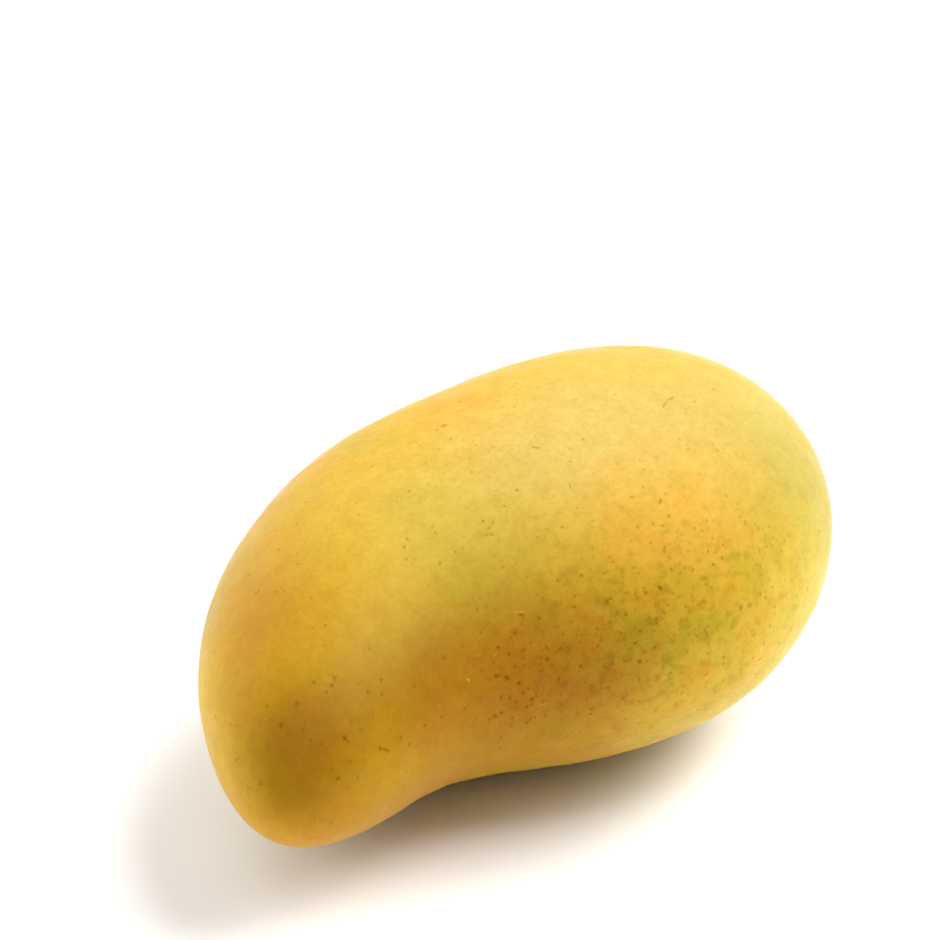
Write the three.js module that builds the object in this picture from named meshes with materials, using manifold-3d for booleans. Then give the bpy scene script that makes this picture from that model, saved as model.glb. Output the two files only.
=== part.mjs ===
// An ataulfo mango, picked, lying on one cheek. Millimetres, +Z up.
// +X is the stem end and -X the beak, +Y the rounded back and -Y the belly with the hollow before the beak.
// The origin is on the resting surface, under the middle of the fruit's box.
import * as THREE from "three";
import { mergeVertices } from "three/addons/utils/BufferGeometryUtils.js";
import Module from "manifold-3d";

// The fruit, along its length. Each list runs from the stem end to the beak and is blended
// into one smooth curve, as the control values of a Bezier curve are.
const LENGTH = 120;
const MIDDLE_LINE = [-3, -2, -8, 5, 9, -11]; // sideways place of the section's middle, in Y
const HALF_WIDTH = [40, 40, 39, 34, 31, 30]; // fullness from the middle line to back and belly
const HALF_THICKNESS = [35, 31, 28, 25, 28]; // fullness from the middle line to each cheek
const BACK_FULLNESS = 0.05; // how much thicker a section is towards the back than the belly

// The hollow in the belly just before the beak.
const HOLLOW_DEPTH = 7;
const HOLLOW_SPREAD = 13;
const HOLLOW_X = -22;
const HOLLOW_Y = -23;

// The dent that the stem stands in, with the shallow creases that run into it.
const DENT_DEPTH = 2.2;
const DENT_SPREAD = 3.6;
const CREASE_COUNT = 5;
const CREASE_DEPTH = 0.16;
const CREASE_TURN = 0.7;

// Slow swells that keep the skin from being a perfect form. Each is a height, its waves in X, Y and Z in
// radians per metre, and a phase.
const SWELLS = [
  [0.22, 95, 60, 35, 0.4],
  [0.16, -70, 130, 80, 1.9],
  [0.12, 150, -90, 110, 3.3],
];

// How it lies: the beak end dips until the lowest point is under the weight, on a small flat spot.
const BEAK_DIP = THREE.MathUtils.degToRad(3);
const FLAT_SPOT_DEPTH = 0.35;

// The dried stub of the stem, and the socket that it grew from. Heights are above the dent's floor.
const STUB_GAP = 0.3;
const STUB_NECK_RADIUS = 2.1;
const STUB_NECK_TOP = 0.6;
const STUB_ROOT = 2.2;
const STUB_ROOT_BEVEL = 0.4;
const STUB_RIM_RADIUS = 2.75;
const STUB_RIM_UNDERSIDE = 1.05;
const STUB_RIM_ROUNDING = 0.35;
const STUB_TOP = 2;
const STUB_LOBES = 9;
const STUB_LOBE_SHARE = 0.09;
const SOCKET_MARGIN = 2;

// The broken face of the stub, from its rim inwards. Depths are below the top of the rim.
const LIP_RADIUS = 2;
const LIP_DEPTH = 0.15;
const GROOVE_RADIUS = 1.6;
const GROOVE_DEPTH = 0.75;
const RING_OUTER_RADIUS = 1.25;
const RING_INNER_RADIUS = 0.9;
const RING_DEPTH = 0.5;
const PIT_RADIUS = 0.5;
const PIT_DEPTH = 1;

// How finely each surface is divided.
const FRUIT_RINGS = 60;
const FRUIT_SIDES = 60;
const RING_CROWDING = 1.4; // above 1, rings stand closer together at the stem end
const STUB_SIDES = 54;
const SOCKET_SIDES = 32;
const MERGE_DISTANCE = 1e-4; // points closer than this are one point

const SKIN_COLOUR = 0xe3b23a;
const STUB_COLOUR = 0x33251c;

const wasm = await Module();
wasm.setup();

// The blend of a list of control values at share s of the way, from 0 to 1, by de Casteljau's halving.
function blend(values, s) {
  let row = values;
  while (row.length > 1) {
    row = row.slice(1).map((value, i) => THREE.MathUtils.lerp(row[i], value, s));
  }
  return row[0];
}

// A bell that is 1 at distance 0 and falls off with the given spread.
function bell(distance, spread) {
  return Math.exp(-(distance ** 2) / (2 * spread ** 2));
}

// How far the skin swells out at a point.
function swellAt(x, y, z) {
  const waves = SWELLS.map(([height, kx, ky, kz, phase]) => {
    return height * Math.sin((kx * x + ky * y + kz * z) / 1000 + phase);
  });
  return waves.reduce((sum, wave) => sum + wave, 0);
}

// How deep the skin is sunk round the stem, at a distance and an angle from the stem's axis.
function stemDentAt(distance, angle) {
  const reach = distance / DENT_SPREAD;
  const crease = Math.cos(CREASE_COUNT * angle + CREASE_TURN) * reach ** 2 * Math.exp(1 - reach ** 2);
  return DENT_DEPTH * bell(distance, DENT_SPREAD) + CREASE_DEPTH * crease;
}

// A point of the skin in the fruit's own frame. along runs from 0 at the stem to pi at the beak,
// and around turns from the back, over the upper cheek, to the belly and on.
function skinPoint(along, around) {
  const s = (1 - Math.cos(along)) / 2;
  const x = (LENGTH / 2) * Math.cos(along);
  const width = Math.sin(along) * blend(HALF_WIDTH, s);
  const thickness = Math.sin(along) * blend(HALF_THICKNESS, s);
  const middle = blend(MIDDLE_LINE, s);
  const outY = Math.cos(around);
  const outZ = Math.sin(around) * (1 + BACK_FULLNESS * Math.cos(around));
  const swell = Math.sin(along) * swellAt(x, middle + width * outY, thickness * outZ);
  let y = middle + (width + swell) * outY;
  const z = (thickness + swell) * outZ;
  y += HOLLOW_DEPTH * bell(Math.hypot(x - HOLLOW_X, y - HOLLOW_Y), HOLLOW_SPREAD);
  const fromStem = Math.hypot(y - MIDDLE_LINE[0], z);
  const sunk = x > 0 ? stemDentAt(fromStem, Math.atan2(z, y - MIDDLE_LINE[0])) : 0;
  return new THREE.Vector3(x - sunk, y, z);
}

// A closed surface from rings of points, each closed on itself, between a first and a last point.
function closedSurface(first, rings, last) {
  const sides = rings[0].length;
  const points = [first, ...rings.flat(), last];
  const at = (ring, side) => 1 + ring * sides + (side % sides);
  const faces = [];
  for (let side = 0; side < sides; side++) {
    faces.push(0, at(0, side), at(0, side + 1));
    for (let ring = 0; ring + 1 < rings.length; ring++) {
      faces.push(at(ring, side), at(ring + 1, side), at(ring + 1, side + 1));
      faces.push(at(ring, side), at(ring + 1, side + 1), at(ring, side + 1));
    }
    faces.push(at(rings.length - 1, side), points.length - 1, at(rings.length - 1, side + 1));
  }
  const geometry = new THREE.BufferGeometry().setFromPoints(points);
  geometry.setIndex(faces);
  return geometry;
}

function skinGeometry() {
  const rings = [];
  for (let ring = 1; ring < FRUIT_RINGS; ring++) {
    const along = Math.PI * (ring / FRUIT_RINGS) ** RING_CROWDING;
    const points = [];
    for (let side = 0; side < FRUIT_SIDES; side++) {
      points.push(skinPoint(along, (2 * Math.PI * side) / FRUIT_SIDES));
    }
    rings.push(points);
  }
  return closedSurface(skinPoint(0, 0), rings, skinPoint(Math.PI, 0));
}

// The manifold-3d solid of a closed geometry, and back.
function solidOf(geometry) {
  const bare = new THREE.BufferGeometry();
  bare.setAttribute("position", geometry.getAttribute("position"));
  bare.setIndex(geometry.getIndex());
  const merged = mergeVertices(bare, MERGE_DISTANCE);
  const vertProperties = merged.getAttribute("position").array;
  const triVerts = new Uint32Array(merged.getIndex().array);
  return new wasm.Manifold(new wasm.Mesh({ numProp: 3, vertProperties, triVerts }));
}

function geometryOf(solid) {
  const mesh = solid.getMesh();
  const geometry = new THREE.BufferGeometry();
  geometry.setAttribute("position", new THREE.BufferAttribute(mesh.vertProperties, 3));
  geometry.setIndex(new THREE.BufferAttribute(mesh.triVerts, 1));
  geometry.computeVertexNormals();
  return geometry;
}

// The stem's place on the dent's floor, and the turn that points +Z of the stub's frame along the fruit.
const stemPlace = skinPoint(0, 0);
const stemTurn = new THREE.Quaternion().setFromUnitVectors(
  new THREE.Vector3(0, 0, 1),
  new THREE.Vector3(1, 0, 0),
);
const stemFrame = new THREE.Matrix4().compose(stemPlace, stemTurn, new THREE.Vector3(1, 1, 1));
const layDown = new THREE.Matrix4().makeRotationY(-BEAK_DIP);

// The skin and flesh in one piece, laid down, with its flat spot and the stub's socket cut away.
function fruitGeometry() {
  const skin = skinGeometry().applyMatrix4(layDown);
  skin.computeBoundingBox();
  const lowest = skin.boundingBox.min.z;

  const floor = new THREE.BoxGeometry(2 * LENGTH, 2 * LENGTH, LENGTH);
  floor.translate(0, 0, lowest + FLAT_SPOT_DEPTH - LENGTH / 2);

  const socketDepth = STUB_ROOT + STUB_GAP;
  const socketRadius = STUB_NECK_RADIUS + STUB_GAP;
  const socket = new THREE.CylinderGeometry(
    socketRadius,
    socketRadius,
    socketDepth + SOCKET_MARGIN,
    SOCKET_SIDES,
  );
  socket.rotateX(Math.PI / 2);
  socket.translate(0, 0, (SOCKET_MARGIN - socketDepth) / 2);
  socket.applyMatrix4(stemFrame).applyMatrix4(layDown);

  return geometryOf(solidOf(skin).subtract(solidOf(floor)).subtract(solidOf(socket)));
}

// The stub: a short neck under a flared, lobed rim, with a ring and a pit where the stalk broke away.
// Its profile runs from the pit over the rim to the root: a radius, a height, and its share of the lobes.
function stubGeometry() {
  const profile = [
    [PIT_RADIUS, STUB_TOP - PIT_DEPTH, 0],
    [RING_INNER_RADIUS, STUB_TOP - RING_DEPTH, 0],
    [RING_OUTER_RADIUS, STUB_TOP - RING_DEPTH, 0],
    [GROOVE_RADIUS, STUB_TOP - GROOVE_DEPTH, 0.4],
    [LIP_RADIUS, STUB_TOP - LIP_DEPTH, 0.7],
    [STUB_RIM_RADIUS - STUB_RIM_ROUNDING, STUB_TOP, 0.9],
    [STUB_RIM_RADIUS, STUB_TOP - STUB_RIM_ROUNDING, 1],
    [STUB_RIM_RADIUS, STUB_RIM_UNDERSIDE, 1],
    [STUB_NECK_RADIUS, STUB_NECK_TOP, 0],
    [STUB_NECK_RADIUS, STUB_ROOT_BEVEL - STUB_ROOT, 0],
    [STUB_NECK_RADIUS - STUB_ROOT_BEVEL, -STUB_ROOT, 0],
  ];
  const rings = profile.map(([radius, height, lobed]) => {
    const points = [];
    for (let side = 0; side < STUB_SIDES; side++) {
      const angle = (2 * Math.PI * side) / STUB_SIDES;
      const reach = radius * (1 + lobed * STUB_LOBE_SHARE * (Math.cos(STUB_LOBES * angle) - 1));
      points.push(new THREE.Vector3(reach * Math.cos(angle), reach * Math.sin(angle), height));
    }
    return points;
  });
  const pit = new THREE.Vector3(0, 0, STUB_TOP - PIT_DEPTH);
  const root = new THREE.Vector3(0, 0, -STUB_ROOT);
  return geometryOf(solidOf(closedSurface(pit, rings, root)));
}

const fruit = new THREE.Mesh(
  fruitGeometry(),
  new THREE.MeshStandardMaterial({ color: SKIN_COLOUR, roughness: 0.5, metalness: 0 }),
);
fruit.name = "fruit";

const stub = new THREE.Mesh(
  stubGeometry(),
  new THREE.MeshStandardMaterial({ color: STUB_COLOUR, roughness: 0.9, metalness: 0 }),
);
stub.name = "stem_stub";
stub.applyMatrix4(stemFrame);
stub.applyMatrix4(layDown);

const mango = new THREE.Group();
mango.add(fruit, stub);

const box = new THREE.Box3().setFromObject(mango, true);
const middle = box.getCenter(new THREE.Vector3());
mango.position.set(-middle.x, -middle.y, -box.min.z);

export default mango;
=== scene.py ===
import math

import bpy
import numpy as np
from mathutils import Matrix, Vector
from mathutils.bvhtree import BVHTree


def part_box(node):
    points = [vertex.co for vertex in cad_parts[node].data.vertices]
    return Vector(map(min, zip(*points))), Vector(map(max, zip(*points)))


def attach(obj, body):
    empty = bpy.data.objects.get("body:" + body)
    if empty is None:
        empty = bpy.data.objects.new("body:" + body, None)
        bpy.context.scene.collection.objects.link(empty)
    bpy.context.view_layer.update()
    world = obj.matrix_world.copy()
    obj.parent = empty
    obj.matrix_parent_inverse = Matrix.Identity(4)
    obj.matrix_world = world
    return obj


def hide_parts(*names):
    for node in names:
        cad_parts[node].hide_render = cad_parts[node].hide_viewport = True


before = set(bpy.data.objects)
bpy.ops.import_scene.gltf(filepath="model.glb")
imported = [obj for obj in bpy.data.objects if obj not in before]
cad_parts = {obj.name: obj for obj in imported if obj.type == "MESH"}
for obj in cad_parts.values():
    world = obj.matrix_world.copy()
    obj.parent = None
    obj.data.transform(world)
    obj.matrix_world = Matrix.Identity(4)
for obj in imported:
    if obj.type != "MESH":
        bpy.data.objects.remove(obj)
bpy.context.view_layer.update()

MM = 0.001  # metres in a millimetre


# The camera
# It stands 36 degrees above the table, on the belly's side and towards the beak, 650 millimetres off, and
# looks a little above and to the left of the fruit's middle, which puts the fruit low in the picture.

CAMERA_AZIMUTH = math.radians(-44)
CAMERA_ELEVATION = math.radians(36)
CAMERA_DISTANCE = 650 * MM
CAMERA_LENS = 159.6
CAMERA_FILM = 36.0
PICTURE_SIDE = 940  # pixels
FRUIT_PLACE = Vector((0, 1.4 * MM, 28.1 * MM))
AIM_RIGHT = -4.1 * MM
AIM_UP = 19.3 * MM

forward = Vector((
    -math.sin(CAMERA_AZIMUTH) * math.cos(CAMERA_ELEVATION),
    math.cos(CAMERA_AZIMUTH) * math.cos(CAMERA_ELEVATION),
    -math.sin(CAMERA_ELEVATION),
))
right = Vector((math.cos(CAMERA_AZIMUTH), math.sin(CAMERA_AZIMUTH), 0))
aim = FRUIT_PLACE + right * AIM_RIGHT + right.cross(forward) * AIM_UP
camera_data = bpy.data.cameras.new("camera")
camera_data.lens = CAMERA_LENS
camera_data.sensor_width = CAMERA_FILM
camera = bpy.data.objects.new("camera", camera_data)
camera.location = FRUIT_PLACE - forward * CAMERA_DISTANCE
camera_turn = (aim - camera.location).to_track_quat("-Z", "Y")
camera.rotation_mode = "QUATERNION"
camera.rotation_quaternion = camera_turn
bpy.context.scene.collection.objects.link(camera)
bpy.context.scene.camera = camera


# The fruit
# One body of flesh under a thin waxy skin, grown in one piece. It is a rounded kidney, plump at the stem end
# and drawn out to a blunt beak, with a hollow in the belly before the beak. It lies on its lower cheek.

FRUIT_LENGTH = 120 * MM
MIDDLE_LINE = np.array([-3, -2, -8, 5, 9, -11]) * MM  # from the stem end to the beak
HALF_WIDTH = np.array([40, 40, 39, 34, 31, 30]) * MM
HALF_THICKNESS = np.array([35, 31, 28, 25, 28]) * MM
BACK_FULLNESS = 0.05

HOLLOW_DEPTH = 7 * MM
HOLLOW_SPREAD = 13 * MM
HOLLOW_PLACE = (-22 * MM, -23 * MM)

DENT_DEPTH = 2.2 * MM
DENT_SPREAD = 3.6 * MM
CREASE_COUNT = 5
CREASE_DEPTH = 0.16 * MM
CREASE_TURN = 0.7

# Each swell is a height, its waves in X, Y and Z in radians per metre, and a phase.
SLOW_SWELLS = [
    (0.22 * MM, (95, 60, 35), 0.4),
    (0.16 * MM, (-70, 130, 80), 1.9),
    (0.12 * MM, (150, -90, 110), 3.3),
]
SKIN_RIPPLES = [
    (0.030 * MM, (610, 420, -380), 0.9),
    (0.024 * MM, (-540, 760, 450), 2.2),
    (0.018 * MM, (980, -310, 890), 4.1),
]

BEAK_DIP = math.radians(3)
FLAT_SPOT_DEPTH = 0.35 * MM

STUB_GAP = 0.05 * MM
STUB_NECK_RADIUS = 2.1 * MM
STUB_ROOT = 2.2 * MM
SOCKET_RADIUS = STUB_NECK_RADIUS + STUB_GAP
SOCKET_DEPTH = STUB_ROOT + STUB_GAP

FRUIT_RINGS = 270
FRUIT_SIDES = 330
RING_CROWDING = 1.3


def bezier(values, share):
    """The Bezier curve of a list of control values: each value times its Bernstein weight, added up."""
    last = len(values) - 1
    weights = [math.comb(last, i) * (1 - share) ** (last - i) * share**i for i in range(last + 1)]
    return sum(weight * value for weight, value in zip(weights, values))


def bell(distance, spread):
    """1 at distance 0, falling off as e to the power of minus half the square of distance over spread."""
    return np.exp(-((distance / spread) ** 2) / 2)


def swell_at(x, y, z):
    """How far the skin swells out: the sum of sine waves that cross the body in different directions."""
    waves = SLOW_SWELLS + SKIN_RIPPLES
    return sum(h * np.sin(kx * x + ky * y + kz * z + phase) for h, (kx, ky, kz), phase in waves)


def skin_points(along, around):
    """Points of the skin. Upright sections stand along X at half the length times cos(along), and each is an
    egg: its middle line, half width and half thickness are Bezier curves of the share of the way from the
    stem, the last two times sin(along). A bell pushes the belly in, and another sinks the stem's dent."""
    share = (1 - np.cos(along)) / 2
    x = FRUIT_LENGTH / 2 * np.cos(along)
    width = np.sin(along) * bezier(HALF_WIDTH, share)
    thickness = np.sin(along) * bezier(HALF_THICKNESS, share)
    middle = bezier(MIDDLE_LINE, share)
    out_y = np.cos(around)
    out_z = np.sin(around) * (1 + BACK_FULLNESS * np.cos(around))
    swell = np.sin(along) * swell_at(x, middle + width * out_y, thickness * out_z)
    y = middle + (width + swell) * out_y
    z = (thickness + swell) * out_z
    y = y + HOLLOW_DEPTH * bell(np.hypot(x - HOLLOW_PLACE[0], y - HOLLOW_PLACE[1]), HOLLOW_SPREAD)
    side = y - MIDDLE_LINE[0]
    reach = np.hypot(side, z) / DENT_SPREAD
    crease = np.cos(CREASE_COUNT * np.arctan2(z, side) + CREASE_TURN) * reach**2 * np.exp(1 - reach**2)
    sunk = DENT_DEPTH * bell(reach, 1) + CREASE_DEPTH * crease
    return np.stack([x - np.where(x > 0, sunk, 0), y, z], axis=-1)


def lay_down(points):
    """Turns points about the Y axis until the beak has dipped."""
    x, y, z = np.moveaxis(points, -1, 0)
    cos, sin = math.cos(BEAK_DIP), math.sin(BEAK_DIP)
    return np.stack([cos * x - sin * z, y, sin * x + cos * z], axis=-1)


def closed_mesh(name, first, rings, last):
    """A mesh of rings of points, each closed on itself, between a first and a last point. The faces point
    outwards where the rings turn anticlockwise round the first point, seen from outside."""
    count, sides = rings.shape[:2]
    points = np.concatenate([[first], rings.reshape(-1, 3), [last]])
    ring = 1 + sides * np.arange(count)[:, None]
    here = np.arange(sides)[None, :]
    beside = (here + 1) % sides
    walls = np.stack([ring[:-1] + here, ring[1:] + here, ring[1:] + beside, ring[:-1] + beside], axis=-1)
    start = np.stack([0 * here[0], 1 + here[0], 1 + beside[0]], axis=-1)
    end = np.stack([ring[-1] + here[0], 0 * here[0] + len(points) - 1, ring[-1] + beside[0]], axis=-1)
    mesh = bpy.data.meshes.new(name)
    mesh.from_pydata(points.tolist(), [], start.tolist() + walls.reshape(-1, 4).tolist() + end.tolist())
    mesh.shade_smooth()
    piece = bpy.data.objects.new(name, mesh)
    bpy.context.scene.collection.objects.link(piece)
    return piece


def fruit_skin():
    """The skin from the socket's floor, up its wall and over the fruit to the beak. A ring's distance from
    the stem's axis starts at the socket's radius, whichever way round, and grows to the beak's pole."""
    around = np.linspace(0, 2 * np.pi, FRUIT_SIDES, endpoint=False)[None, :]
    breadth = np.hypot(HALF_WIDTH[0] * np.cos(around), HALF_THICKNESS[0] * np.sin(around))
    edge = np.arcsin(SOCKET_RADIUS / breadth)
    way = (np.arange(FRUIT_RINGS)[:, None] / FRUIT_RINGS) ** RING_CROWDING
    skin = skin_points(edge + (np.pi - edge) * way, around)
    pole = skin_points(np.zeros(1), np.zeros(1))[0]
    floor_ring = skin[:1].copy()
    floor_ring[..., 0] = pole[0] - SOCKET_DEPTH
    floor_middle = pole - [SOCKET_DEPTH, 0, 0]
    beak = skin_points(np.full(1, np.pi), np.zeros(1))[0]
    return floor_middle, np.concatenate([floor_ring, skin]), beak


first, rings, last = (lay_down(part) for part in fruit_skin())
rings[..., 2] = np.maximum(rings[..., 2], rings[..., 2].min() + FLAT_SPOT_DEPTH)
fruit_low, fruit_high = (np.array(corner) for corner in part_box("fruit"))
own_low, own_high = rings.min(axis=(0, 1)), rings.max(axis=(0, 1))
stretch = (fruit_high - fruit_low) / (own_high - own_low)


def into_frame(points):
    """Puts points of the laid-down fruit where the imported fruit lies."""
    return fruit_low + (points - own_low) * stretch


fruit = closed_mesh("fruit_skin", into_frame(first), into_frame(rings), into_frame(last))

# The skin's finish, painted in layers: golden wax, soft blushes of green, orange and brown, among them
# painted highlights, painted rim and floor light and painted shade, a fine mottle, matt corky pores, and the
# marks and scratches of one grown fruit. Colours are as a screen shows them, from 0 to 255, and sizes are in
# millimetres.

SKIN_GOLD = (192, 154, 20)
SKIN_GREEN = (180, 154, 36)
SKIN_ORANGE = (198, 146, 30)
LARGE_CLOUDS = 26
GREEN_CLOUDS = (0.5, 0.68)
ORANGE_CLOUDS = (0.5, 0.32)

# Each blush, painted highlights, painted light and painted shade among them, is a colour, its middle and its
# reach along X, Y and Z, and its share at the middle.
BLUSHES_AND_PAINTED_LIGHT = {
    # Paler on the top: partly the skin's own colour, partly a painted highlight of the wax.
    "pale_crown_painted_highlight": ((185, 162, 98), (12, -7, 56), (32, 17, 9), 0.8),
    "green_shoulder": ((154, 142, 52), (40, -25, 41), (14, 14, 18), 0.9),
    # Paler low on the belly side towards the stem: partly the skin's own colour, partly painted light thrown
    # up from the floor.
    "pale_lower_side_painted_floor_light": ((228, 208, 98), (24, -35, 18), (19, 8, 13), 0.85),
    "orange_cheek": ((200, 148, 32), (9, -23, 48), (13, 7, 10), 0.7),
    "green_band": ((210, 186, 54), (-17, -12, 48), (17, 11, 10), 0.4),
    # Darker on the belly and at the beak, here and in the next four: partly the skin's own olive, brown and
    # green, partly painted shade where the skin faces away from the lights.
    "olive_flank_painted_shade": ((138, 98, 8), (-31, -17, 37), (15, 10, 9), 0.9),
    "brown_belly_painted_shade": ((170, 100, 16), (-16, -25, 34), (13, 7, 7), 0.9),
    "green_belly_painted_shade": ((166, 134, 32), (1, -31, 36), (15, 10, 6), 0.65),
    "beak_bruise_painted_shade": ((144, 90, 8), (-54, -13, 37), (8, 7, 5), 0.8),
    "beak_amber_painted_shade": ((120, 76, 8), (-54, -16, 30), (5, 6, 8), 0.8),
    # Orange low on the beak: partly the skin's own orange, partly painted light thrown up from the floor.
    "beak_orange_painted_floor_light": ((216, 152, 12), (-57, -12, 20), (12, 12, 7), 0.7),
    "gold_lower_side": ((224, 176, 46), (9, -36, 25), (12, 5, 6), 0.6),
    # Darker orange low in the belly's hollow: partly the skin's own orange, partly painted shade in the
    # hollow.
    "low_orange_painted_hollow_shade": ((180, 124, 8), (-22, -21, 16), (22, 9, 7), 0.85),
    "orange_edge": ((164, 92, 12), (-48, 7, 43), (11, 8, 8), 0.6),
    # Paler at the beak end's far edge, here and in the next: partly the skin's own colour, partly painted rim
    # light.
    "pale_rim_painted_rim_light": ((218, 178, 26), (-52, 12, 32), (9, 7, 8), 0.6),
    "green_rim_painted_rim_light": ((210, 176, 12), (-58, 3, 26), (6, 9, 9), 0.35),
    "orange_back": ((186, 128, 30), (8, 34, 34), (28, 12, 12), 0.6),
    "green_back": ((166, 142, 40), (-30, 24, 24), (14, 10, 10), 0.6),
    "pale_underside": ((202, 166, 58), (8, 3, 3), (32, 20, 7), 0.7),
    "stem_orange": ((172, 104, 20), (55, -3, 29), (7, 9, 9), 0.7),
    "stem_brown": ((128, 76, 20), (57, -2, 31), (4, 3.6, 3.6), 0.7),
    # A dark crescent to one side of the stub: partly the scar's own brown, partly painted shade in the dent.
    "stem_crescent_painted_shade": ((96, 54, 14), (57, 1.6, 32.4), (4, 1.0, 2.4), 0.75),
    "stem_red": ((154, 76, 14), (57, -1, 26.4), (4, 1.6, 1.8), 0.7),
}

# Where the belly's stains and green pores are strongest, their share elsewhere, and the red pores' place.
BELLY = ((2, -30, 37), (20, 10, 13), 0.75)
OFF_BELLY = 0.12
RED_CLUSTER = ((-18, -23, 31), (8, 6, 6), 0.7)

# Kinds of stain: a colour that multiplies the skin's, the size and detail of its clouds, the noise at which
# it starts and is full, and its share.
GREEN_STAIN = ((226, 242, 190), 5.5, 3, (0.48, 0.66), 0.8)
ORANGE_STAIN = ((252, 230, 180), 5.5, 3, (0.52, 0.34), 0.8)
MOTTLE = ((242, 236, 206), 2.6, 4, (0.3, 0.7), 0.48)
FINE_MOTTLE = ((242, 238, 214), 0.8, 3, (0.35, 0.65), 0.5)
SMUDGES = ((214, 206, 130), 1.9, 2, (0.5, 0.68), 0.7)
LEAST_SMUDGES = 0.14

# Kinds of pore: a colour that multiplies the skin's, a squeeze, a spacing, the largest radius, the soft edge
# and a strength. The green ones are short strokes of the belly.
CORKY_PORE = ((180, 154, 62), (1, 0.8, 0.8), 1.5, 0.27, 0.26, 0.88)
LONG_GREEN_PORE = ((186, 178, 76), (0.5, 1, 1), 0.95, 0.30, 0.28, 0.82)
UPRIGHT_GREEN_PORE = ((182, 172, 76), (1, 0.9, 0.5), 1.0, 0.30, 0.28, 0.82)
RED_PORE = ((186, 150, 84), (1, 0.7, 0.7), 1.1, 0.32, 0.24, 0.82)
CORKY_DENSITY = 0.7

# The pale pores and strokes are laid over the skin, and the other marks multiply it.
PALE_PORE = ((232, 208, 118), (1, 1, 0.6), 1.3, 0.16, 0.14, 0.3)
PALE_DENSITY = 0.3
FAINT_MARK = ((188, 162, 62), 0.55)
DARK_MARK = ((174, 147, 40), 0.75)
PALE_MARK = ((218, 187, 92), 0.35)
STROKE_SHARE = 0.7

# How edges wander: the size of the clouds that push them about, and the reach of the push.
LARGE_WAVER = (14, 6)
SMALL_WAVER = (3, 2)
SPECK_WAVER = (0.7, 0.9)
STROKE_WAVER = (0.9, 0.8)

# The wax. Its gloss is lost on the pores and marks, and its relief is coarse clouds and finer ones.
SKIN_GLOSS = 0.09
SKIN_SHEEN = 0.06
SKIN_SHEEN_SPREAD = 0.3
SKIN_ROUGHNESS = (0.42, 0.52)
ROUGHNESS_CLOUDS = 6
RELIEF_CLOUDS = 4
RELIEF_WEIGHT = 2.0
FINE_RELIEF_CLOUDS = 0.9
RELIEF_STRENGTH = 0.35
RELIEF_HEIGHT = 0.05 * MM


def linear(shown):
    """The linear colour, with full cover, of a colour that a screen shows as three numbers up to 255."""
    share = np.array(shown) / 255
    return (*np.where(share <= 0.04045, share / 12.92, ((share + 0.055) / 1.055) ** 2.4).tolist(), 1)


def put(tree, kind, inputs, **options):
    """Adds a node, sets its options, and fills its inputs by number or name from values or other outputs."""
    node = tree.nodes.new("ShaderNode" + kind)
    for name, option in options.items():
        setattr(node, name, option)
    for key, value in inputs.items():
        if isinstance(value, bpy.types.NodeSocket):
            tree.links.new(value, node.inputs[key])
        else:
            node.inputs[key].default_value = value
    return node


def maths(tree, operation, *values, clamp=False):
    """A sum of numbers: the output of one Math node."""
    return put(tree, "Math", dict(enumerate(values)), operation=operation, use_clamp=clamp).outputs[0]


def over(tree, under, paint, share, way="MIX"):
    """One colour laid over another in a share. way is how they mix."""
    inputs = {0: share, 6: under, 7: paint if isinstance(paint, bpy.types.NodeSocket) else linear(paint)}
    return put(tree, "Mix", inputs, data_type="RGBA", blend_type=way).outputs[2]


def cloud(tree, place, size, detail=2.0):
    """Soft noise about 0.5, whose clouds are about a size across, in the units of the place."""
    inputs = {"Vector": place, "Scale": 1 / size, "Detail": detail, "Roughness": 0.5}
    return put(tree, "TexNoise", inputs).outputs[0]


def between(tree, value, low, high, out_low=0.0, out_high=1.0):
    """A number carried smoothly from one range to another, and held at its ends."""
    inputs = {0: value, 1: low, 2: high, 3: out_low, 4: out_high}
    return put(tree, "MapRange", inputs, interpolation_type="SMOOTHSTEP").outputs[0]


def millimetres(tree):
    """The place of a point of the piece, in millimetres."""
    place = put(tree, "TexCoord", {}).outputs["Object"]
    return put(tree, "VectorMath", {0: place, "Scale": 1 / MM}, operation="SCALE").outputs[0]


def wavered(tree, place, size, reach):
    """A place pushed about by clouds of a size, by up to half a reach each way, so that an edge wanders."""
    inputs = {"Vector": place, "Scale": 1 / size, "Detail": 3.0, "Roughness": 0.55}
    noise = put(tree, "TexNoise", inputs).outputs[1]
    push = put(tree, "VectorMath", {0: noise, 1: (0.5, 0.5, 0.5)}, operation="SUBTRACT").outputs[0]
    inputs = {0: push, 1: (reach, reach, reach), 2: place}
    return put(tree, "VectorMath", inputs, operation="MULTIPLY_ADD").outputs[0]


def soft_spot_at(tree, place, middle, reach, share):
    """A soft spot: its share times e to the power of minus half the squared distance, in reaches."""
    away = put(tree, "VectorMath", {0: place, 1: middle}, operation="SUBTRACT").outputs[0]
    away = put(tree, "VectorMath", {0: away, 1: reach}, operation="DIVIDE").outputs[0]
    square = put(tree, "VectorMath", {0: away, 1: away}, operation="DOT_PRODUCT").outputs["Value"]
    return maths(tree, "MULTIPLY", maths(tree, "EXPONENT", maths(tree, "MULTIPLY", square, -0.5)), share)


def stained(tree, under, place, stain, where=1.0):
    """A colour with a stain over it, in its share times a share that says where."""
    paint, size, detail, (start, full), share = stain
    shade = maths(tree, "MULTIPLY", between(tree, cloud(tree, place, size, detail), start, full), where)
    return over(tree, under, paint, maths(tree, "MULTIPLY", shade, share), "MULTIPLY")


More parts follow.
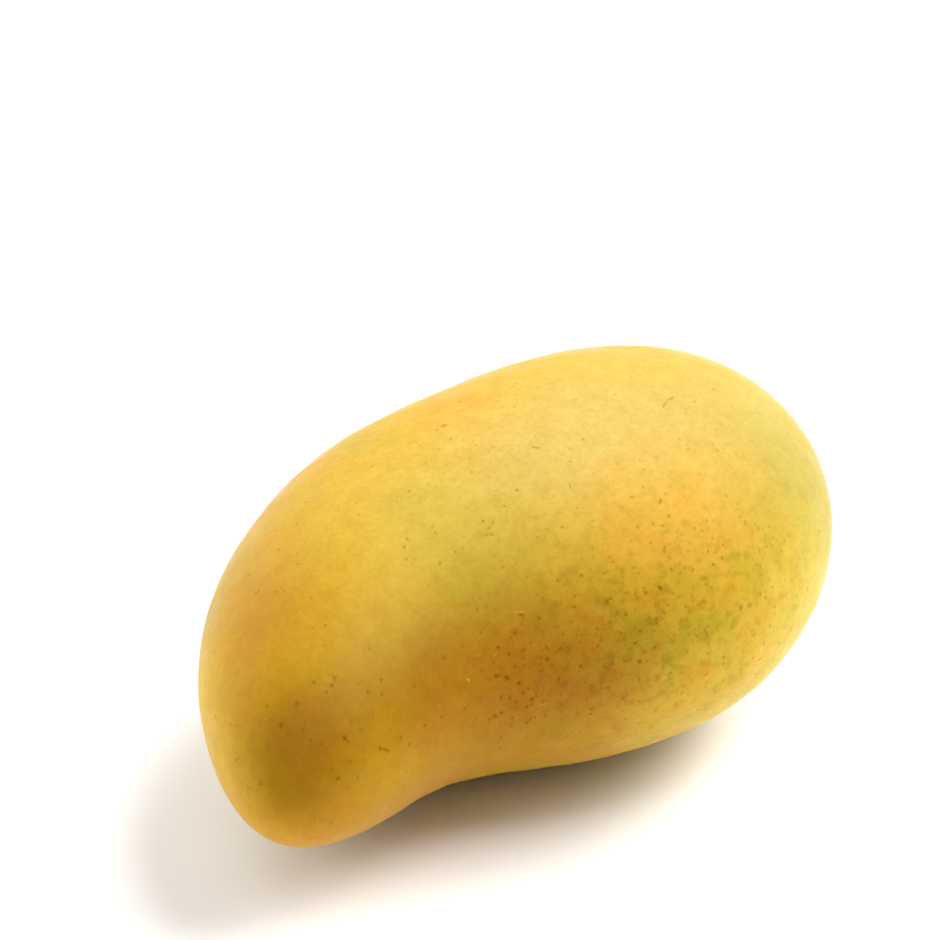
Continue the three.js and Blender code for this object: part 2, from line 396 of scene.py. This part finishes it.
def pores(tree, place, squeeze, spacing, radius, edge, density):
    """Specks at random points, one to a cell of a spacing. A cell has a speck where its own random number is
    under the density, larger the further under, and another random number gives its strength. The edge is
    its soft width. Each axis of the place is multiplied by its squeeze, so a small one draws specks out."""
    place = put(tree, "VectorMath", {0: place, 1: squeeze}, operation="MULTIPLY").outputs[0]
    cells = put(tree, "TexVoronoi", {"Vector": place, "Scale": 1 / spacing, "Randomness": 1.0})
    draws = put(tree, "SeparateColor", {0: cells.outputs["Color"]})
    spare = maths(tree, "SUBTRACT", density, draws.outputs[0])
    size = maths(tree, "MULTIPLY", maths(tree, "MULTIPLY", spare, 4.0, clamp=True), radius)
    inside = maths(tree, "SUBTRACT", size, maths(tree, "MULTIPLY", cells.outputs["Distance"], spacing))
    share = maths(tree, "DIVIDE", inside, edge, clamp=True)
    return maths(tree, "MULTIPLY", share, maths(tree, "MULTIPLY_ADD", draws.outputs[1], 0.7, 0.3))


# The larger marks lie where the camera sees them. A dot is a column and a row of the picture and half its
# width in millimetres, and a stroke is the columns and rows of its two ends and half its width.
DARK_DOTS = [
    (444, 425, 0.24), (517, 490, 0.22), (505, 506, 0.22), (562, 527, 0.18), (404, 547, 0.20),
    (409, 491, 0.20), (643, 487, 0.18), (708, 551, 0.20), (670, 558, 0.20), (581, 576, 0.28),
    (646, 593, 0.30), (660, 588, 0.30), (657, 624, 0.25), (741, 608, 0.26), (750, 605, 0.24),
    (764, 644, 0.24), (636, 643, 0.24), (640, 662, 0.26), (623, 698, 0.26), (581, 666, 0.28),
    (547, 659, 0.26), (542, 671, 0.22), (497, 676, 0.30), (507, 678, 0.28), (519, 683, 0.28),
    (523, 693, 0.28), (532, 699, 0.30), (527, 707, 0.26), (502, 713, 0.24), (495, 716, 0.26),
    (314, 682, 0.20), (332, 686, 0.24), (327, 692, 0.22), (338, 779, 0.30), (380, 749, 0.30),
    (345, 738, 0.30),
]
FAINT_DOTS = [
    (451, 439, 0.18), (473, 441, 0.18), (583, 440, 0.20), (426, 463, 0.14), (398, 502, 0.16),
    (415, 560, 0.16), (440, 563, 0.24), (432, 527, 0.20), (489, 528, 0.20), (487, 535, 0.22),
    (504, 567, 0.18), (526, 577, 0.18), (548, 529, 0.22), (538, 538, 0.18), (480, 598, 0.20),
    (481, 633, 0.24), (515, 633, 0.24), (539, 618, 0.20), (523, 650, 0.26), (560, 649, 0.24),
    (482, 670, 0.22), (465, 709, 0.28), (656, 458, 0.18), (644, 470, 0.18), (632, 497, 0.22),
    (653, 524, 0.26), (663, 526, 0.22), (723, 448, 0.20), (687, 414, 0.20), (745, 524, 0.18),
    (758, 528, 0.18), (723, 545, 0.22), (706, 603, 0.22), (692, 596, 0.24), (297, 524, 0.20),
    (282, 588, 0.18), (281, 725, 0.28), (303, 730, 0.22), (388, 751, 0.26), (361, 730, 0.26),
    (409, 745, 0.26), (261, 783, 0.28), (382, 694, 0.26), (325, 626, 0.20), (444, 658, 0.22),
    (477, 610, 0.22), (414, 686, 0.20), (437, 430, 0.22), (335, 678, 0.26), (297, 704, 0.28),
    (369, 693, 0.24), (381, 680, 0.22), (401, 738, 0.28), (352, 721, 0.20),
]
STROKES = [
    (673, 397, 668, 400, 0.18), (667, 402, 663, 407, 0.12), (442, 427, 446, 425, 0.20),
    (534, 447, 539, 448, 0.16), (494, 519, 493, 522, 0.16), (255, 594, 259, 591, 0.18),
    (236, 761, 239, 758, 0.18), (331, 687, 335, 682, 0.14), (383, 749, 387, 751, 0.18),
    (345, 739, 348, 741, 0.20), (692, 631, 697, 636, 0.14), (705, 630, 707, 636, 0.20),
    (619, 631, 621, 634, 0.14), (625, 594, 629, 593, 0.18), (519, 615, 523, 615, 0.16),
    (659, 503, 661, 500, 0.17), (741, 605, 741, 610, 0.22), (606, 600, 611, 599, 0.18),
    (536, 693, 537, 697, 0.14), (510, 695, 510, 699, 0.18),
]
PALE_STROKES = [
    (660, 681, 666, 676, 0.10), (515, 612, 524, 612, 0.09), (671, 696, 673, 695, 0.16),
    (468, 679, 469, 680, 0.16), (539, 706, 546, 703, 0.12), (494, 656, 498, 652, 0.08),
    (632, 488, 636, 492, 0.08), (712, 516, 714, 514, 0.12),
]

skin_tree = BVHTree.FromObject(fruit, bpy.context.evaluated_depsgraph_get())


def seen_place(column, row):
    """The point of the skin, in millimetres, that shows at a column and a row of the picture: where the sight
    line through them first meets the skin."""
    centre = PICTURE_SIDE / 2
    sight = Vector((column - centre, centre - row, -CAMERA_LENS / CAMERA_FILM * PICTURE_SIDE))
    return tuple(skin_tree.ray_cast(camera.location, camera_turn @ sight.normalized())[0] / MM)


def soft_disc(tree, distance, width):
    """1 at a mark's middle, and 0 from twice its half width, with a smooth edge."""
    return between(tree, distance, 2 * width, 0)


def dot_at(tree, place, column, row, width):
    """A round mark of the skin at a pixel."""
    spot = seen_place(column, row)
    distance = put(tree, "VectorMath", {0: place, 1: spot}, operation="DISTANCE").outputs["Value"]
    return soft_disc(tree, distance, width)


def stroke_at(tree, place, column, row, end_column, end_row, width):
    """A straight mark of the skin between two pixels. The nearest point of its middle line is found by a dot
    product held between 0 and 1."""
    start = seen_place(column, row)
    run = tuple(b - a for a, b in zip(start, seen_place(end_column, end_row)))
    away = put(tree, "VectorMath", {0: place, 1: start}, operation="SUBTRACT").outputs[0]
    unit = tuple(step / sum(part**2 for part in run) for step in run)
    along = put(tree, "VectorMath", {0: away, 1: unit}, operation="DOT_PRODUCT").outputs["Value"]
    along = maths(tree, "ADD", along, 0.0, clamp=True)
    nearest = put(tree, "VectorMath", {0: run, "Scale": along}, operation="SCALE").outputs[0]
    distance = put(tree, "VectorMath", {0: away, 1: nearest}, operation="DISTANCE").outputs["Value"]
    return soft_disc(tree, distance, width)


def strongest(tree, shares):
    """The largest of a list of shares, by a chain of Math nodes."""
    top = shares[0]
    for share in shares[1:]:
        top = maths(tree, "MAXIMUM", top, share)
    return top


def skin_finish():
    """The skin's material: gold, blushes with painted light and shade, stains, pores and marks, one over
    another.
    """
    skin = bpy.data.materials.new("mango_skin")
    skin.use_nodes = True
    tree = skin.node_tree
    shader = tree.nodes["Principled BSDF"]
    place = millimetres(tree)
    loose = wavered(tree, wavered(tree, place, *LARGE_WAVER), *SMALL_WAVER)
    ragged = wavered(tree, place, *SPECK_WAVER)
    bent = wavered(tree, place, *STROKE_WAVER)

    large = cloud(tree, place, LARGE_CLOUDS)
    tint = over(tree, linear(SKIN_GOLD), SKIN_GREEN, between(tree, large, *GREEN_CLOUDS))
    tint = over(tree, tint, SKIN_ORANGE, between(tree, large, *ORANGE_CLOUDS))
    for paint, middle, reach, share in BLUSHES_AND_PAINTED_LIGHT.values():
        tint = over(tree, tint, paint, soft_spot_at(tree, loose, middle, reach, share))

    belly = maths(tree, "ADD", soft_spot_at(tree, loose, *BELLY), OFF_BELLY)
    tint = stained(tree, tint, loose, GREEN_STAIN, belly)
    tint = stained(tree, tint, loose, ORANGE_STAIN, belly)
    tint = stained(tree, tint, place, MOTTLE)
    tint = stained(tree, tint, place, FINE_MOTTLE)
    tint = stained(tree, tint, ragged, SMUDGES, maths(tree, "MAXIMUM", belly, LEAST_SMUDGES))

    corky = []
    layers = [
        (CORKY_PORE, CORKY_DENSITY),
        (LONG_GREEN_PORE, belly),
        (UPRIGHT_GREEN_PORE, belly),
        (RED_PORE, soft_spot_at(tree, loose, *RED_CLUSTER)),
    ]
    for (paint, *form, strength), density in layers:
        specks = pores(tree, ragged, *form, density)
        corky.append(specks)
        tint = over(tree, tint, paint, maths(tree, "MULTIPLY", specks, strength), "MULTIPLY")
    paint, *form, strength = PALE_PORE
    specks = pores(tree, ragged, *form, PALE_DENSITY)
    tint = over(tree, tint, paint, maths(tree, "MULTIPLY", specks, strength))

    faint = strongest(tree, [dot_at(tree, ragged, *dot) for dot in FAINT_DOTS])
    dots = [dot_at(tree, ragged, *dot) for dot in DARK_DOTS]
    lines = strongest(tree, [stroke_at(tree, bent, *stroke) for stroke in STROKES])
    dark = strongest(tree, [*dots, maths(tree, "MULTIPLY", lines, STROKE_SHARE)])
    for (paint, strength), marks in ((FAINT_MARK, faint), (DARK_MARK, dark)):
        tint = over(tree, tint, paint, maths(tree, "MULTIPLY", marks, strength), "MULTIPLY")
    pale = strongest(tree, [stroke_at(tree, bent, *stroke) for stroke in PALE_STROKES])
    paint, strength = PALE_MARK
    tint = over(tree, tint, paint, maths(tree, "MULTIPLY", pale, strength))
    tree.links.new(tint, shader.inputs["Base Color"])

    waxy = maths(tree, "SUBTRACT", 1.0, strongest(tree, [*corky, faint, dark]))
    tree.links.new(maths(tree, "MULTIPLY", waxy, SKIN_GLOSS), shader.inputs["Specular IOR Level"])
    shader.inputs["Sheen Weight"].default_value = SKIN_SHEEN
    shader.inputs["Sheen Roughness"].default_value = SKIN_SHEEN_SPREAD
    rough = between(tree, cloud(tree, place, ROUGHNESS_CLOUDS, 3), 0.3, 0.7, *SKIN_ROUGHNESS)
    tree.links.new(rough, shader.inputs["Roughness"])

    coarse = cloud(tree, place, RELIEF_CLOUDS, 2)
    height = maths(tree, "MULTIPLY_ADD", coarse, RELIEF_WEIGHT, cloud(tree, place, FINE_RELIEF_CLOUDS, 3))
    relief = put(tree, "Bump", {"Strength": RELIEF_STRENGTH, "Distance": RELIEF_HEIGHT, "Height": height})
    tree.links.new(relief.outputs[0], shader.inputs["Normal"])
    return skin


fruit.data.materials.append(skin_finish())
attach(fruit, "root")
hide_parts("fruit")


# The stub
# The dried stub of the stem, woody and almost black. It is grown into the dent at the fruit's top, and flared
# as it dried into a lobed button with a cracked rim, a broken ring of grey mauve and a pit in the middle.

STUB_LOBES = 9
STUB_LOBE_SHARE = 0.09
STUB_RINGS = 90
STUB_SIDES = 216
CORNER_SHARE = 0.012  # how far a corner's rounding reaches along the profile, each way
CRACKS = 14
CRACK_DEPTH = 0.22 * MM
CRACK_WIDTH = 0.22  # of the sine that places the cracks
CRACKED_RADIUS = 2.1 * MM
CRACKED_SPREAD = 0.45 * MM
CRACKED_HEIGHT = 0.8 * MM  # the lowest place that cracks
GRAIN_DEPTH = 0.06 * MM
GRAIN_LINES = 31
GRAIN_WAVES = 9000  # along a radius, in radians per metre

# The profile from the pit over the rim to the root: radius, height over the dent's floor, share of the lobes.
STUB_PROFILE = np.array([
    (0, 1.0, 0),
    (0.5, 1.0, 0),
    (0.9, 1.5, 0),
    (1.25, 1.5, 0.2),
    (1.6, 1.25, 0.4),
    (2.0, 1.85, 0.7),
    (2.4, 2.0, 0.9),
    (2.75, 1.65, 1),
    (2.75, 1.05, 1),
    (2.1, 0.6, 0),
    (2.1, -1.8, 0),
    (1.7, -2.2, 0),
    (0, -2.2, 0),
]) * (MM, MM, 1)


def stub_points(way, around):
    """Points of the stub's surface in the fruit's frame. The profile is carried round the stem's axis with
    its corners rounded, by the mean of three samples. A lobe pulls the radius in by a share of one less its
    cosine, cracks are narrow bells round the face, and the grain is a sum of sines, always inwards."""
    leg = np.hypot(*np.diff(STUB_PROFILE[:, :2], axis=0).T)
    run = np.concatenate([[0], np.cumsum(leg)]) / leg.sum()
    samples = [np.clip(way + shift, 0, 1) for shift in (-CORNER_SHARE, 0, CORNER_SHARE)]
    radius, height, lobed = (
        sum(np.interp(sample, run, column) for sample in samples) / 3 for column in STUB_PROFILE.T
    )
    uneven = 1 + 0.35 * np.sin(2 * around + 1) + 0.3 * np.sin(3 * around + 2.2)
    lobe = np.cos(STUB_LOBES * around + 0.5 * np.sin(2 * around)) - 1
    reach = radius * (1 + lobed * STUB_LOBE_SHARE * uneven * lobe)
    face = bell(radius - CRACKED_RADIUS, CRACKED_SPREAD) * (height > CRACKED_HEIGHT)
    wandering = CRACKS / 2 * around + 1.2 * np.sin(around) + 0.8 * np.sin(3 * around)
    crack = bell(np.sin(wandering), CRACK_WIDTH)
    streaks = np.sin(GRAIN_LINES * around + 5 * np.sin(3 * around))
    circles = np.sin(GRAIN_WAVES * radius + 4 * around)
    grain = 0.5 + 0.25 * streaks + 0.25 * circles
    sunk = face * CRACK_DEPTH * crack * uneven + GRAIN_DEPTH * grain * (height > 0)
    return np.stack([height - sunk + 0 * around, reach * np.sin(around), -reach * np.cos(around)], axis=-1)


stem_place = skin_points(np.zeros(1), np.zeros(1))[0]
stub_way = np.linspace(0, 1, STUB_RINGS + 1)[1:-1, None]
stub_around = np.linspace(0, 2 * np.pi, STUB_SIDES, endpoint=False)[None, :]
stub_rings = stub_points(stub_way, stub_around)
pit = np.array([STUB_PROFILE[0, 1], 0, 0])
root = np.array([STUB_PROFILE[-1, 1], 0, 0])
first, rings, last = (into_frame(lay_down(stem_place + part)) for part in (pit, stub_rings, root))
stub = closed_mesh("stem_button", first, rings, last)

STUB_DARK = (30, 20, 16)
STUB_OLIVE = (60, 50, 26)
STUB_PIT = (34, 20, 20)
STUB_MAUVE = (112, 88, 80)

# The stub's patches, in millimetres: radii from its axis, the ring's width and the sizes of its clouds.
PIT_EDGE = (1.5, 1.1)
RING_RADIUS = 1.62
RING_WIDTH = 0.16
RING_SHARE = 0.8
RING_CLOUDS = 1.1
WOOD_CLOUDS = 0.7
WAVY_RADIUS = 0.5
DRY_CLOUDS = 0.8
STUB_ROUGHNESS = (0.7, 0.95)
STUB_GLOSS = 0.25
FIBRE_CLOUDS = 0.25
FIBRE_STRENGTH = 0.6
FIBRE_HEIGHT = 0.08 * MM


def stub_finish():
    """The stub's material: dry dark wood in small clouds, olive on the lobes, almost black in the pit, with a
    thin broken line of grey mauve on the ring round the pit."""
    wood = bpy.data.materials.new("dry_stem")
    wood.use_nodes = True
    tree = wood.node_tree
    shader = tree.nodes["Principled BSDF"]
    place = millimetres(tree)
    axis = tuple((into_frame(lay_down(stem_place)) / MM).tolist())
    away = put(tree, "VectorMath", {0: place, 1: axis}, operation="SUBTRACT").outputs[0]
    flat = put(tree, "VectorMath", {0: away, 1: (0, 1, 1)}, operation="MULTIPLY").outputs[0]
    radius = put(tree, "VectorMath", {0: flat}, operation="LENGTH").outputs["Value"]
    radius = maths(tree, "MULTIPLY_ADD", cloud(tree, place, WOOD_CLOUDS, 3), WAVY_RADIUS, radius)
    olive = between(tree, cloud(tree, place, WOOD_CLOUDS, 4), 0.38, 0.66)
    tint = over(tree, linear(STUB_DARK), STUB_OLIVE, olive)
    tint = over(tree, tint, STUB_PIT, between(tree, radius, *PIT_EDGE))
    beside = maths(tree, "ABSOLUTE", maths(tree, "SUBTRACT", radius, RING_RADIUS))
    broken = between(tree, cloud(tree, place, RING_CLOUDS, 2), 0.4, 0.6)
    ring = maths(tree, "MULTIPLY", between(tree, beside, RING_WIDTH, 0), broken)
    tint = over(tree, tint, STUB_MAUVE, maths(tree, "MULTIPLY", ring, RING_SHARE))
    tree.links.new(tint, shader.inputs["Base Color"])
    rough = between(tree, cloud(tree, place, DRY_CLOUDS, 3), 0.3, 0.7, *STUB_ROUGHNESS)
    tree.links.new(rough, shader.inputs["Roughness"])
    shader.inputs["Specular IOR Level"].default_value = STUB_GLOSS
    height = cloud(tree, place, FIBRE_CLOUDS, 4)
    fibre = put(tree, "Bump", {"Strength": FIBRE_STRENGTH, "Distance": FIBRE_HEIGHT, "Height": height})
    tree.links.new(fibre.outputs[0], shader.inputs["Normal"])
    return wood


stub.data.materials.append(stub_finish())
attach(stub, "root")
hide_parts("stem_stub")


# The floor
# A plain white tabletop, so much larger than the fruit that no edge shows from the photo's height.

FLOOR_SIDE = 8.0
FLOOR_WHITE = 0.92
FLOOR_ROUGHNESS = 0.6

floor_mesh = bpy.data.meshes.new("floor")
half = FLOOR_SIDE / 2
corners = [(-half, -half, 0), (half, -half, 0), (half, half, 0), (-half, half, 0)]
floor_mesh.from_pydata(corners, [], [(0, 1, 2, 3)])
floor = bpy.data.objects.new("floor", floor_mesh)
bpy.context.scene.collection.objects.link(floor)
floor_finish = bpy.data.materials.new("white_tabletop")
floor_finish.use_nodes = True
floor_shader = floor_finish.node_tree.nodes["Principled BSDF"]
floor_shader.inputs["Base Color"].default_value = (FLOOR_WHITE, FLOOR_WHITE, FLOOR_WHITE, 1)
floor_shader.inputs["Roughness"].default_value = FLOOR_ROUGHNESS
floor_mesh.materials.append(floor_finish)


# The lights
# Six soft boxes a metre away, as in a white tent, and a faint even fill. The strongest is the key light, off
# the stem end. Each box is a turn in degrees round the table, from the belly's side towards the stem end,
# a height in degrees above it, and a power in watts.

BOX_SIDE = 0.8
BOX_DISTANCE = 1.0
FRUIT_MIDDLE = Vector((0, 0, 28 * MM))
SOFT_BOXES = {
    "key": (60, 55, 17.2),
    "low_stem_side": (90, 22, 6.6),
    "low_back": (180, 22, 5.4),
    "high_back": (180, 55, 2.5),
    "low_beak_back": (225, 22, 3.9),
    "high_beak_side": (300, 55, 2.1),
}
FILL = 0.1


def soft_box(name, turn, height, power):
    """A square area light that faces the fruit's middle from a turn and a height."""
    turn, height = math.radians(turn), math.radians(height)
    outward = Vector((
        math.sin(turn) * math.cos(height),
        -math.cos(turn) * math.cos(height),
        math.sin(height),
    ))
    light = bpy.data.lights.new(name, "AREA")
    light.size = BOX_SIDE
    light.energy = power
    holder = bpy.data.objects.new(name, light)
    holder.location = FRUIT_MIDDLE + outward * BOX_DISTANCE
    holder.rotation_mode = "QUATERNION"
    holder.rotation_quaternion = outward.to_track_quat("Z", "Y")
    bpy.context.scene.collection.objects.link(holder)


for name, (turn, height, power) in SOFT_BOXES.items():
    soft_box(name, turn, height, power)

world = bpy.data.worlds.new("studio")
world.use_nodes = True
background = world.node_tree.nodes["Background"]
background.inputs["Color"].default_value = (1, 1, 1, 1)
background.inputs["Strength"].default_value = FILL
bpy.context.scene.world = world
bpy.context.scene.view_settings.view_transform = "Standard"
